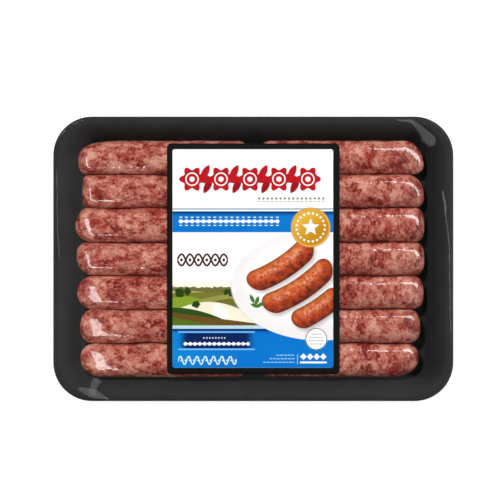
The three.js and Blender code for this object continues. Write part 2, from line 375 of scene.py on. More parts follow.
def link_height_grid(links):
    """Heights of the links' upper sides on a grid over the pack, and the grid's X and Y."""
    grid_x = np.arange(-HALF_LENGTH, HALF_LENGTH + GRID_STEP, GRID_STEP)
    grid_y = np.arange(-HALF_WIDTH, HALF_WIDTH + GRID_STEP, GRID_STEP)
    heights = np.zeros((len(grid_x), len(grid_y)))
    for link in links:
        count = len(link.data.vertices)
        places = np.empty(count * 3)
        link.data.vertices.foreach_get("co", places)
        places = places.reshape(-1, 3)
        column = np.rint((places[:, 0] - grid_x[0]) / GRID_STEP).astype(int)
        line = np.rint((places[:, 1] - grid_y[0]) / GRID_STEP).astype(int)
        np.maximum.at(heights, (column, line), places[:, 2])
    return grid_x, grid_y, heights


def inset_of(x, y):
    """How far a point lies inside the pack's outline."""
    reach_x = np.abs(x) - (HALF_LENGTH - PACK_CORNER)
    reach_y = np.abs(y) - (HALF_WIDTH - PACK_CORNER)
    outside = np.hypot(np.maximum(reach_x, 0), np.maximum(reach_y, 0))
    return PACK_CORNER - outside - np.minimum(np.maximum(reach_x, reach_y), 0)


FILM_SAG = 0.0035 * MM  # pull of the film towards the links in each round
FILM_ROUNDS = 900


def relax_film(links):
    """Heights of a taut film over the links and the rim, on a grid."""
    grid_x, grid_y, under = link_height_grid(links)
    inset = inset_of(grid_x[:, None], grid_y[None, :])
    on_rim = inset < FILM_RIM_INSET
    film = np.where(on_rim, RIM_Z, np.maximum(under, RIM_Z))
    for _ in range(FILM_ROUNDS):
        around = film[:-2, 1:-1] + film[2:, 1:-1] + film[1:-1, :-2] + film[1:-1, 2:]
        film[1:-1, 1:-1] = np.maximum(around / 4 - FILM_SAG, under[1:-1, 1:-1])
        film[on_rim] = RIM_Z
    return grid_x, grid_y, film


def sample_grid(grid_x, grid_y, values, x, y):
    """Bilinear reading of a grid at points."""
    at_x = np.clip((x - grid_x[0]) / GRID_STEP, 0, len(grid_x) - GRID_END)
    at_y = np.clip((y - grid_y[0]) / GRID_STEP, 0, len(grid_y) - GRID_END)
    i, j = at_x.astype(int), at_y.astype(int)
    u, v = at_x - i, at_y - j
    low = values[i, j] * (1 - u) + values[i + 1, j] * u
    high = values[i, j + 1] * (1 - u) + values[i + 1, j + 1] * u
    return low * (1 - v) + high * v


def film_ring(inset, z):
    return pack_ring(inset, z, FILM_CORNER_STEPS, FILM_SIDE_STEP)


def film_top_rings(grid):
    """Rings of the film's top, from the middle out to the rim."""
    insets = np.concatenate([
        np.arange(HALF_WIDTH - FILM_LAST_RING, FILM_FINE_INSET, -FILM_RING_STEP),
        np.arange(FILM_FINE_INSET, FILM_RIM_INSET, -FILM_FINE_STEP),
    ])
    rings = []
    for inset in insets:
        ring = film_ring(inset, 0)
        ring[:, 2] = sample_grid(*grid, ring[:, 0], ring[:, 1]) + FILM_LIFT
        rings.append(ring)
    return rings


def film_side_rings():
    """Rings from the rim round the lip, straight down to the base and in to the middle under it."""
    lip = lip_profile(FOAM_THICKNESS / 2, FILM_OUTLINE_INSET, 90, FILM_LIP_END)
    base = base_profile(FILM_BASE_GAP)
    wall_share = np.linspace(0, 1, FILM_WALL_STEPS + 1)[1:-1]
    wall = lip[-1] + (base[1] - lip[-1]) * wall_share[:, None]
    rings = [film_ring(inset, z) for inset, z in lip]
    rings += [pleat(film_ring(inset, z), share) for share, (inset, z) in zip(wall_share, wall)]
    rings += [film_ring(inset, z) for inset, z in base[1:]]
    for inset in np.linspace(base[-1, 0], HALF_WIDTH - FILM_LAST_RING, FILM_UNDER_STEPS + 1)[1:]:
        ring = film_ring(inset, base[-1, 1])
        ring[:, 2] += unevenness(ring, *FILM_UNDER_RIPPLE)
        rings.append(ring)
    return rings


PLEATS = 9  # folds of the film at each corner
PLEAT_DEPTH = 0.5 * MM


def pleat(ring, share):
    """The film's gathers at the corners, deepest half way down the wall."""
    reach = np.abs(ring[:, :2]) - [HALF_LENGTH - 2 * PACK_CORNER, HALF_WIDTH - 2 * PACK_CORNER]
    turn = np.arctan2(reach[:, 1], reach[:, 0])
    inside = ease(np.minimum(reach[:, 0], reach[:, 1]), 0, PACK_CORNER)
    fold = np.cos(turn * 4 * PLEATS) * math.sin(share * math.pi) * PLEAT_DEPTH * inside
    outwards = ring[:, :2] / np.linalg.norm(ring[:, :2], axis=1, keepdims=True)
    ring[:, :2] += outwards * (fold - PLEAT_DEPTH * inside)[:, None]
    return ring


def make_film(grid, material):
    rings = np.array(film_top_rings(grid) + film_side_rings())
    return add_object("film_wrap", *loft(rings), material)


# Creases and slack puckers of the film: points of X, Y and half width in mm.
CREASES = (
    ((-98.2, 72.3, 0.1), (-94.5, 73.7, 0.5), (-90.7, 74.8, 0.1)),
    ((-104.4, 66.2, 0.1), (-102.6, 68.1, 0.55), (-100.8, 69.8, 0.1)),
    ((-106.8, 56.2, 0.2), (-106.7, 54.9, 0.2)),
    ((-106, 53.8, 0.15), (-105.7, 52.6, 0.2)),
    (
        (-105.6, 50, 0.1), (-106.2, 46, 0.3), (-105.6, 42, 0.35), (-106.1, 38, 0.3), (-105.5, 33, 0.35),
        (-106, 27, 0.25), (-105.3, 21, 0.35), (-105.6, 14, 0.3), (-104.8, 6, 0.4), (-104.4, -2, 0.15),
    ),
    (
        (102, 37.5, 0.6), (102.6, 33, 1.0), (103.4, 28, 0.9), (103.8, 22, 0.6), (104.8, 15, 0.45),
        (105.7, 5, 0.4), (105.8, -8, 0.4), (106, -20, 0.4), (106.1, -32, 0.35), (106.6, -41, 0.1),
    ),
)
PUCKERS = (
    (
        (77, 74.8, 0.4), (84.6, 74.3, 1), (88.4, 71.4, 1.7), (91.6, 68, 2.6), (94, 65.2, 3.4),
        (95.6, 63.2, 3.4), (96.6, 61.9, 2.6), (97.4, 61, 1.2), (97.6, 60.8, 0.3),
    ),
    (
        (-94.4, -69, 0.3), (-92.6, -70.4, 1.6), (-88, -72.2, 2.8), (-83.5, -74, 2.2), (-77.5, -75.8, 0.4),
    ),
    (
        (-86.4, -74, 0.8), (-86.6, -72, 2.6), (-86.2, -69.5, 2.4), (-85, -66.8, 2.9), (-83.8, -64.9, 3.3),
        (-83.4, -64.3, 1.2),
    ),
)
CREASE_RISE = 0.35  # height of a crease for its half width
PUCKER_RISE = 0.11
CREASE_STEP = 0.7 * MM
CREASE_SIDES = 16
FEWEST_CREASE_RINGS = 6
CREASE_WANDER = (0.12 * MM, 3 * MM, 41)  # reach, size and seed


def make_crease(name, path, rise, grid, material):
    """A narrow ridge of doubled film along a path, which tapers to its ends."""
    path = np.array(path) * MM
    lengths = np.concatenate([[0], np.cumsum(np.linalg.norm(np.diff(path[:, :2], axis=0), axis=1))])
    count = max(FEWEST_CREASE_RINGS, round(lengths[-1] / CREASE_STEP))
    places = np.linspace(0, lengths[-1], count)
    x, y, half = (np.interp(places, lengths, path[:, column]) for column in range(3))
    x += unevenness(np.column_stack([x, y, 0 * x]), *CREASE_WANDER)
    along = np.gradient(np.column_stack([x, y]), axis=0)
    along /= np.linalg.norm(along, axis=1, keepdims=True)
    angles = np.arange(CREASE_SIDES) / CREASE_SIDES * 2 * math.pi
    rings = []
    for centre_x, centre_y, radius, (step_x, step_y) in zip(x, y, half, along):
        across = radius * np.cos(angles)
        ring_x = centre_x + across * step_y
        ring_y = centre_y - across * step_x
        height = sample_grid(*grid, ring_x, ring_y) + FILM_LIFT
        rings.append(np.column_stack([ring_x, ring_y, height + rise * radius * np.sin(angles)]))
    return add_object(name, *loft(rings), material)


# ---- Label ----

LABEL_CORNER = 2.4 * MM
LABEL_STEP = 1.6 * MM
LABEL_CORNER_STEPS = 8
LABEL_LIFT = 0.2 * MM  # of the sheet's underside over the film
LABEL_SHEET = 0.15 * MM


def label_sections():
    """X of the label's sections and its half width at each, which narrows in the round corners."""
    angles = np.linspace(0, math.pi / 2, LABEL_CORNER_STEPS + 1)[1:]
    corner_x = LABEL_HIGH.x - LABEL_CORNER * (1 - np.sin(angles))
    corner_half = LABEL_HIGH.y - LABEL_CORNER * (1 - np.cos(angles))
    straight = LABEL_HIGH.x - LABEL_CORNER
    steps = round(2 * straight / LABEL_STEP)
    middle_x = np.linspace(-straight, straight, steps + 1)
    stations = np.concatenate([-corner_x[::-1], middle_x, corner_x])
    halves = np.concatenate([corner_half[::-1], np.full(len(middle_x), LABEL_HIGH.y), corner_half])
    return stations, halves


def make_label(grid, material):
    """The label's sheet, laid on the film: each ring crosses it on top and comes back below."""
    across = np.linspace(1, -1, round(2 * LABEL_HIGH.y / LABEL_STEP) + 1)
    rings = []
    for x, half in zip(*label_sections()):
        y = across * half
        under = sample_grid(*grid, np.full(len(y), x), y) + FILM_LIFT + LABEL_LIFT
        top = np.column_stack([np.full(len(y), x), y, under + LABEL_SHEET])
        bottom = np.column_stack([np.full(len(y), x), y, under])[::-1]
        rings.append(np.concatenate([top, bottom]))
    return add_object("label_sheet", *loft(rings), material)


# ---- Materials ----


class Nodes:
    """Short names for adding and joining the nodes of one tree."""

    def __init__(self, tree):
        self.tree = tree
        self.tree.nodes.clear()

    def add(self, kind, settings=None, **inputs):
        node = self.tree.nodes.new("ShaderNode" + kind)
        for name, value in (settings or {}).items():
            setattr(node, name, value)
        for name, value in inputs.items():
            self.put(node.inputs[name.replace("_", " ")], value)
        return node

    def put(self, socket, value):
        if isinstance(value, bpy.types.NodeSocket):
            self.tree.links.new(value, socket)
        else:
            socket.default_value = value

    def math(self, operation, *values, clamp=False):
        node = self.add("Math", {"operation": operation, "use_clamp": clamp})
        for socket, value in zip(node.inputs, values):
            self.put(socket, value)
        return node.outputs[0]

    def times(self, first, second):
        return self.math("MULTIPLY", first, second)

    def line(self, value, slope, start):
        """The value times a slope, plus a start."""
        return self.math("MULTIPLY_ADD", value, slope, start)

    def rise(self, value, low, high, top=1.0):
        """0 at low and top at high, smooth between."""
        settings = {"interpolation_type": "SMOOTHSTEP"}
        inputs = {"From Min": low, "From Max": high, "To Max": top}
        return self.add("MapRange", settings, Value=value, **inputs).outputs[0]

    def mix(self, share, first, second):
        node = self.add("Mix", {"data_type": "RGBA"})
        self.put(node.inputs[0], share)
        self.put(node.inputs[6], first)
        self.put(node.inputs[7], second)
        return node.outputs[2]

    def noise(self, vector, scale, detail=2.0, roughness=0.5, distortion=0.0, output=0):
        inputs = {"Detail": detail, "Roughness": roughness, "Distortion": distortion}
        return self.add("TexNoise", Vector=vector, Scale=scale, **inputs).outputs[output]

    def cells(self, vector, scale, **settings):
        return self.add("TexVoronoi", settings, Vector=vector, Scale=scale)

    def channels(self, colour):
        return self.add("SeparateColor", Color=colour).outputs

    def ramp(self, value, stops):
        node = self.add("ValToRGB", Fac=value)
        ramp = node.color_ramp
        while len(ramp.elements) < len(stops):
            ramp.elements.new(0.5)
        for element, (position, colour) in zip(ramp.elements, stops):
            element.position = position
            element.color = (*colour[:3], 1)
        return node.outputs[0]


class Shader(Nodes):
    """The nodes of one material."""

    def __init__(self, name):
        self.material = bpy.data.materials.new(name)
        self.material.use_nodes = True
        super().__init__(self.material.node_tree)

    def object_place(self):
        return self.add("TexCoord").outputs["Object"]

    def bump(self, height, strength, distance):
        return self.add("Bump", Height=height, Strength=strength, Distance=distance).outputs[0]

    def finish(self, shader):
        self.add("OutputMaterial", Surface=shader)
        return self.material

    def principled(self, **inputs):
        return self.finish(self.add("BsdfPrincipled", **inputs).outputs[0])


def foam_material():
    shader = Shader("black_foam")
    place = shader.object_place()
    patches = shader.noise(place, 60.0, 3.0)
    roughness = shader.add("MapRange", Value=patches, To_Min=0.32, To_Max=0.42)
    return shader.principled(
        Base_Color=shader.ramp(patches, [(0.3, (0.0094, 0.0094, 0.0095)), (0.7, (0.0114, 0.0114, 0.0115))]),
        Roughness=roughness.outputs[0],
        Specular_IOR_Level=0.1,
        Normal=shader.bump(shader.cells(place, 900.0).outputs["Distance"], 0.12, 0.0001),
    )


LEAN_RED = (0.36, 0.030, 0.027, 1)
FAT_TAN = (0.54, 0.275, 0.18, 1)
FAT_PALE = (0.62, 0.37, 0.28, 1)
PEPPER = (0.035, 0.012, 0.01, 1)
MINCE_TONES = [  # from fat to the darkest lean
    (0.08, (0.64, 0.300, 0.225)),
    (0.24, (0.555, 0.220, 0.158)),
    (0.50, (0.427, 0.117, 0.084)),
    (0.63, (0.341, 0.066, 0.046)),
    (0.78, (0.250, 0.030, 0.021)),
    (0.96, (0.15, 0.010, 0.006)),
]


def meat_material():
    """Coarse raw mince through a thin wet casing: pale fat, pink and red lean, a few dark specks."""
    shader = Shader("raw_pork")
    place = shader.add("Attribute", {"attribute_name": "meat_place"}).outputs["Vector"]
    shift = shader.add("VectorMath", {"operation": "MULTIPLY_ADD"})
    shader.put(shift.inputs[0], shader.noise(place, 330.0, 2.0, 0.6, output="Color"))
    shader.put(shift.inputs[1], (0.0045, 0.0045, 0.0045))
    shader.put(shift.inputs[2], place)
    chunks = shader.cells(shift.outputs[0], 270.0, feature="SMOOTH_F1")
    shader.put(chunks.inputs["Smoothness"], 0.2)
    chunk = shader.channels(chunks.outputs["Color"])[0]
    mince = shader.noise(place, 105.0, 4.0, 0.9, 0.25)
    crumbs = shader.noise(place, 850.0, 3.0, 0.7, 0.5)
    lean = shader.line(chunk, 0.5, -1.55)
    lean = shader.line(mince, 2.6, lean)
    lean = shader.math("ADD", crumbs, lean)
    colour = shader.ramp(lean, MINCE_TONES)
    zone = shader.channels(shader.noise(place, 135.0, 2.5, 0.65, 0.5, output="Color"))
    colour = shader.mix(shader.times(shader.rise(zone[0], 0.57, 0.70), 0.7), colour, LEAN_RED)
    colour = shader.mix(shader.times(shader.rise(zone[1], 0.56, 0.70), 0.42), colour, FAT_TAN)
    fat = shader.cells(place, 330.0).outputs
    reach = shader.line(shader.channels(fat["Color"])[0], -0.42, fat["Distance"])
    reach = shader.line(crumbs, 0.5, reach)
    colour = shader.mix(shader.times(shader.rise(reach, 0.28, 0.05), 0.4), colour, FAT_PALE)
    pepper = shader.cells(place, 125.0).outputs["Distance"]
    colour = shader.mix(shader.rise(pepper, 0.07, 0.03), colour, PEPPER)
    bump = shader.bump(shader.noise(place, 480.0, 0.6, 0.5, 0.3), 1.0, 0.00015)
    return shader.principled(
        Base_Color=colour,
        Roughness=0.38,
        Specular_IOR_Level=0.05,
        Normal=bump,
        Coat_Weight=1.0,
        Coat_Roughness=0.06,
        Coat_Normal=bump,
        Subsurface_Weight=0.12,
        Subsurface_Radius=(1.0, 0.35, 0.25),
        Subsurface_Scale=0.001,
    )


def film_material():
    shader = Shader("clear_film")
    bump = shader.bump(shader.noise(shader.object_place(), 120.0, 3.0, 0.5, 0.6), 0.25, 0.0006)
    clear = shader.add("BsdfTransparent")
    gloss = shader.add("BsdfGlossy", Normal=bump, Roughness=0.06)
    fresnel = shader.add("Fresnel", IOR=1.45, Normal=bump)
    front = shader.math("SUBTRACT", 1.0, shader.add("NewGeometry").outputs["Backfacing"])
    both = shader.add("MixShader")
    shader.put(both.inputs[0], shader.math("MULTIPLY", fresnel.outputs[0], front, clamp=True))
    shader.put(both.inputs[1], clear.outputs[0])
    shader.put(both.inputs[2], gloss.outputs[0])
    return shader.finish(both.outputs[0])


def ink(red, green, blue):
    """A printed colour, given as it looks on a screen from 0 to 255, as a linear colour."""
    return tuple(((value / 255 + 0.055) / 1.055) ** 2.4 for value in (red, green, blue)) + (1,)


class Print(Shader):
    """Draws flat shapes on a sheet. U and V are millimetres right and up from the pack's middle;
    each shape is a signed distance in millimetres, below 0 inside."""

    EDGE = 0.16  # width in mm over which a shape's edge fades

    def __init__(self, name):
        super().__init__(name)
        self.place = self.object_place()
        parts = self.add("SeparateXYZ", Vector=self.place)
        self.u = self.times(parts.outputs["X"], 1000)
        self.v = self.times(parts.outputs["Y"], 1000)
        self.colour = PAPER

    def off(self, value, middle):
        return self.math("SUBTRACT", value, middle)

    def length(self, x, y):
        square = self.times(x, x)
        square = self.line(y, y, square)
        return self.math("SQRT", square)

    def both(self, first, second):
        return self.math("MAXIMUM", first, second)

    def absolute(self, value):
        return self.math("ABSOLUTE", value)

    def span(self, value, low, high):
        """Distance outside the stretch from low to high along one axis."""
        reach = self.absolute(self.off(value, (low + high) / 2))
        return self.off(reach, (high - low) / 2)

    def box(self, left, right, bottom, top):
        return self.both(self.span(self.u, left, right), self.span(self.v, bottom, top))

    def round_box(self, left, right, bottom, top, radius):
        x = self.both(self.off(self.span(self.u, left, right), -radius), 0)
        y = self.both(self.off(self.span(self.v, bottom, top), -radius), 0)
        return self.off(self.length(x, y), radius)

    def circle(self, u, v, radius):
        return self.off(self.length(self.off(self.u, u), self.off(self.v, v)), radius)

    def oval(self, u, v, radius_u, radius_v):
        x = self.math("DIVIDE", self.off(self.u, u), radius_u)
        y = self.math("DIVIDE", self.off(self.v, v), radius_v)
        return self.times(self.off(self.length(x, y), 1), min(radius_u, radius_v))

    def turned(self, x, y, degrees):
        """X and Y as coordinates along and across a direction."""
        cosine, sine = math.cos(math.radians(degrees)), math.sin(math.radians(degrees))
        along = self.line(y, sine, self.times(x, cosine))
        across = self.line(y, cosine, self.times(x, -sine))
        return along, across

    def turned_at(self, u, v, degrees):
        return self.turned(self.off(self.u, u), self.off(self.v, v), degrees)

    def capsule(self, along, across, half_length, radius):
        rest = self.both(self.off(self.absolute(along), half_length), 0)
        return self.off(self.length(rest, across), radius)

    def cell(self, value, start, pitch):
        """Coordinate from the middle of the repeated cell that a point is in."""
        share = self.math("FLOORED_MODULO", self.off(value, start), pitch)
        return self.off(share, pitch / 2)

    def leaf(self, x, y, half_length, half_width):
        """A pointed leaf along X."""
        radius = (half_length**2 + half_width**2) / (2 * half_width)
        side = self.math("ADD", self.absolute(y), radius - half_width)
        return self.off(self.length(x, side), radius)

    def mask(self, distance, edge=None):
        edge = edge or self.EDGE
        return self.math("MULTIPLY_ADD", distance, -1 / edge, 0.5, clamp=True)

    def paint(self, mask, colour):
        self.colour = self.mix(mask, self.colour, colour)

    def draw(self, distance, colour, edge=None):
        self.paint(self.mask(distance, edge), colour)

    def beads(self, left, right, v, pitch, radius, colour):
        x = self.cell(self.u, left, pitch)
        dots = self.off(self.length(x, self.off(self.v, v)), radius)
        self.draw(self.both(dots, self.span(self.u, left, right)), colour)

    def dashes(self, left, right, v, pitch, length, height, colour):
        x = self.absolute(self.cell(self.u, left, pitch))
        bar = self.both(self.off(x, length / 2), self.span(self.v, v - height / 2, v + height / 2))
        self.draw(self.both(bar, self.span(self.u, left, right)), colour)

    def wave(self, left, right, v, period, height, thickness, phase=0.0):
        """A line that swings about V."""
        turn = 2 * math.pi / period
        angle = self.line(self.off(self.u, left), turn, phase)
        swing = self.times(self.math("SINE", angle), height)
        slope = self.times(self.math("COSINE", angle), height * turn)
        stretch = self.length(slope, 1)
        gap = self.absolute(self.off(self.off(self.v, v), swing))
        line = self.off(self.math("DIVIDE", gap, stretch), thickness / 2)
        return self.both(line, self.span(self.u, left, right))


PAPER = ink(254, 254, 254)
WHITE = ink(255, 255, 255)
BORDER = ink(23, 23, 22)
RED = ink(186, 22, 30)
DARK_RED = ink(156, 14, 24)
OLIVE = ink(128, 132, 84)
BAND_LINE = ink(170, 192, 201)
BLUE = ink(0, 117, 205)
DEEP_BLUE = ink(0, 48, 114)
NAVY = ink(6, 37, 92)
LIGHT_BLUE = ink(0, 131, 213)
PALE_BLUE = ink(120, 184, 236)
WAVE_BLUE = ink(206, 234, 252)
GOLD = ink(202, 138, 20)
PALE_GOLD = ink(228, 184, 92)
BROWN = ink(74, 34, 22)

PANEL = (-43.5, 43.0, -58.7, 59.0)  # left, right, bottom and top of the printed panel
PANEL_CORNER = 1.2


def draw_garland(art):
    """Red flowers and leaves on a swinging stem, in the band at the top."""
    left, right, middle, pitch = -40.8, 37.2, 42.9, 15.6
    inside = art.span(art.u, left, right)
    art.draw(art.wave(left + 3, right - 3, middle, pitch, 1.6, 1.3), RED)
    x = art.cell(art.u, left, pitch)
    y = art.off(art.v, middle)
    petals = art.times(art.math("COSINE", art.times(art.math("ARCTAN2", y, x), 6)), 1.1)
    reach = art.length(x, y)
    art.draw(art.both(art.off(art.off(reach, petals), 5.9), inside), RED)
    art.draw(art.both(art.off(art.absolute(art.off(reach, 3.3)), 0.32), inside), WHITE)
    art.draw(art.both(art.off(reach, 1.4), inside), WHITE)
    for shift, height, degrees in ((7.1, 3.6, 62), (8.5, -3.6, 62), (7.6, 0.4, 152)):
        near = art.cell(art.u, left - pitch / 2 + shift - 7.8, pitch)
        along, across = art.turned(near, art.off(y, height), degrees)
        leaf = art.both(art.leaf(along, across, 4.6, 1.9), art.span(art.u, left + 3, right - 3))
        art.draw(leaf, DARK_RED if height < 0 else RED)


def draw_band(art):
    """A row of olive beads and dashes over the blue band with its white ones."""
    left, right = PANEL[:2]
    art.beads(2.0, 38.8, 32.5, 2.3, 0.62, OLIVE)
    art.dashes(2.0, 38.8, 30.9, 2.3, 1.3, 0.4, OLIVE)
    art.draw(art.box(left, right, 26.3, 27.4), BAND_LINE)
    band = art.mask(art.box(left, right, 14.3, 25.6))
    art.paint(band, BLUE)
    art.paint(art.times(band, art.rise(art.v, 22.6, 25.6)), DEEP_BLUE)
    art.beads(-40.6, 14.5, 20.2, 3.06, 1.05, WHITE)
    art.beads(-39.07, 12.9, 20.2, 3.06, 0.5, WHITE)
    for height in (22.4, 18.0):
        art.dashes(-40.6, 14.5, height, 3.06, 1.5, 0.42, WHITE)


def draw_seal(art):
    """A gold seal with a star in a ring of dots."""
    u, v, radius = 30.9, 16.9, 10.75
    x, y = art.off(art.u, u), art.off(art.v, v)
    reach = art.length(x, y)
    art.draw(art.off(reach, radius), GOLD)
    rim = art.off(art.absolute(art.off(reach, radius - 0.7)), 0.3)
    art.draw(rim, PALE_GOLD)
    inner = art.mask(art.off(reach, radius - 1.3))
    slant = art.off(x, y)
    shine = art.math("SUBTRACT", 1.0, art.rise(slant, -13, 9))
    art.paint(art.times(inner, shine), ink(228, 180, 64))
    angle = art.math("ARCTAN2", x, y)
    turn = math.radians(72)
    tip = art.absolute(art.cell(angle, -turn / 2, turn))
    point, notch = 4.9, 2.1
    notch_x, notch_y = notch * math.cos(turn / 2), notch * math.sin(turn / 2)
    normal = Vector((notch_y, point - notch_x)).normalized()
    along = art.times(art.math("COSINE", tip), reach)
    across = art.times(art.math("SINE", tip), reach)
    edge = art.line(across, normal.y, art.times(along, normal.x))
    art.draw(art.off(edge, normal.x * point), WHITE)
    step = math.radians(18)
    dot_angle = art.cell(angle, 0, step)
    dot_x = art.off(art.times(art.math("COSINE", dot_angle), reach), 7.6)
    dot_y = art.times(art.math("SINE", dot_angle), reach)
    art.draw(art.off(art.length(dot_x, dot_y), 0.62), WHITE)


def draw_braid(art):
    """A brown two-strand braid with a dot in each eye."""
    half_period = 4.55
    left, right, middle = -9 * half_period, -3 * half_period, -0.6
    for phase in (0, math.pi):
        art.draw(art.wave(left, right, middle, 2 * half_period, 3.0, 1.05, phase), BROWN)
    art.beads(left, right, middle, half_period, 0.8, BROWN)


TREES = (  # middle and radius
    (-39.5, -18.4, 2.5),
    (-35.4, -17.6, 1.8),
    (-11.5, -18.2, 2.1),
    (-14.6, -18.0, 1.5),
    (-30.8, -24.6, 2.0),
)


def draw_fields(art):
    """Rolling fields with hedges, round trees and a pale lane, under a pale sky."""
    window = art.mask(art.box(-43.6, 6.0, -35.9, -6.0))
    rough = art.times(art.off(art.noise(art.place, 900.0, 3.0), 0.5), 3.0)

    def field(distance, colour, edge=None):
        art.paint(art.times(window, art.mask(distance, edge)), colour)

    def hill(u, height, reach, colour):
        """A hill with its top at a point, falling off to both sides."""
        square = art.times(art.off(art.u, u), art.off(art.u, u))
        crest = art.line(square, -1 / reach, height)
        field(art.off(art.v, crest), colour)

    art.paint(art.times(window, art.rise(art.v, -6, -17)), ink(254, 249, 222))
    field(art.off(art.off(art.v, -15.2), rough), ink(112, 108, 58))
    hill(-38, -17.4, 260, ink(196, 188, 134))
    hill(-22, -17.9, 700, ink(122, 120, 44))
    hill(-6, -18.8, 160, ink(150, 150, 80))
    hill(-37, -20.2, 46, ink(134, 160, 44))
    hill(-12, -21.6, 60, ink(112, 112, 44))
    hill(-24, -23.2, 70, ink(244, 238, 212))
    lane = art.line(art.math("SINE", art.times(art.v, 0.38)), 2.4, -20)
    spread = art.line(art.v, -0.42, -8.0)
    lane_side = art.off(art.absolute(art.off(art.u, lane)), spread)
    field(art.both(lane_side, art.off(art.v, -24.2)), ink(252, 251, 242))
    hill(-44, -26.2, 120, ink(44, 78, 24))
    slope = art.line(art.u, -0.13, -34.6)
    field(art.off(art.v, slope), ink(104, 78, 30))
    grass = art.line(art.u, -0.2, -40.2)
    field(art.off(art.off(art.v, grass), rough), ink(84, 110, 28))
    for u, v, radius in TREES:
        field(art.off(art.circle(u, v, radius), rough), ink(40, 68, 20))


PLATE = (36.0, -14.0, 48.0, 30.0)  # middle and half axes


def draw_plate(art):
    """A white plate that reaches in from the right, with a grey edge."""
    u, v, radius_u, radius_v = PLATE
    edge = art.oval(*PLATE)
    rows = art.span(art.v, -58, 13)
    art.draw(art.both(edge, rows), ink(243, 239, 239))
    well = art.oval(u + 2, v + 2, radius_u - 7, radius_v - 8)
    art.draw(art.both(well, rows), WHITE, 5)
    outline = art.both(art.off(art.absolute(edge), 0.12), art.span(art.v, -58, -13))
    art.draw(outline, ink(206, 212, 220), 0.5)


LINKS_ON_PLATE = (  # middle, half of the straight length, radius, turn in degrees
    (34.6, -27.0, 9.4, 5.8, 33),
    (25.0, -16.2, 15.4, 6.2, 33),
    (15.6, -4.4, 14.2, 6.2, 33),
)
COOKED_TONES = [
    (0.24, ink(84, 32, 22)),
    (0.38, ink(148, 55, 30)),
    (0.52, ink(186, 71, 34)),
    (0.66, ink(206, 92, 42)),
    (0.84, ink(224, 132, 76)),
]
SPRIG = (  # each leaf's middle and its turn in degrees
    (2.0, -22.6, 70),
    (-0.6, -21.6, 115),
    (4.0, -24.6, 25),
    (1.0, -25.2, 160),
)


def draw_links(art):
    """Browned links side by side on the plate, with a green sprig."""
    spots = art.noise(art.place, 330.0, 4.0, 0.6)
    flecks = art.noise(art.place, 620.0, 3.0, 0.6)
    for u, v, half, radius, degrees in LINKS_ON_PLATE:
        along, across = art.turned_at(u, v, degrees)
        bend = art.times(art.times(along, along), 0.007)
        bent = art.off(across, art.off(bend, 0.5))
        shade = art.capsule(art.off(along, 0.5), art.off(bent, -1.8), half, radius)
        art.paint(art.times(art.mask(shade, 3.0), 0.55), ink(112, 78, 68))
        shape = art.capsule(along, bent, half, radius)
        inside = art.mask(shape)
        tone = art.line(spots, 0.8, art.line(bent, 0.042, 0.12))
        art.paint(inside, art.ramp(tone, COOKED_TONES))
        rim = art.rise(shape, -2.2, 0.1)
        art.paint(art.times(inside, art.times(rim, 0.7)), ink(104, 42, 28))
        band = art.off(art.absolute(art.off(bent, 1.8)), 1.3)
        gleam = art.times(art.mask(band, 3.2), art.rise(flecks, 0.40, 0.64))
        ends = art.mask(art.off(art.absolute(along), half), 4.0)
        art.paint(art.times(art.times(gleam, ends), 0.55), ink(250, 206, 170))
        dark = art.times(inside, art.rise(flecks, 0.36, 0.27))
        art.paint(art.times(dark, 0.6), ink(84, 34, 22))
    for leaf in SPRIG:
        art.draw(art.leaf(*art.turned_at(*leaf), 2.7, 1.0), ink(74, 118, 40))


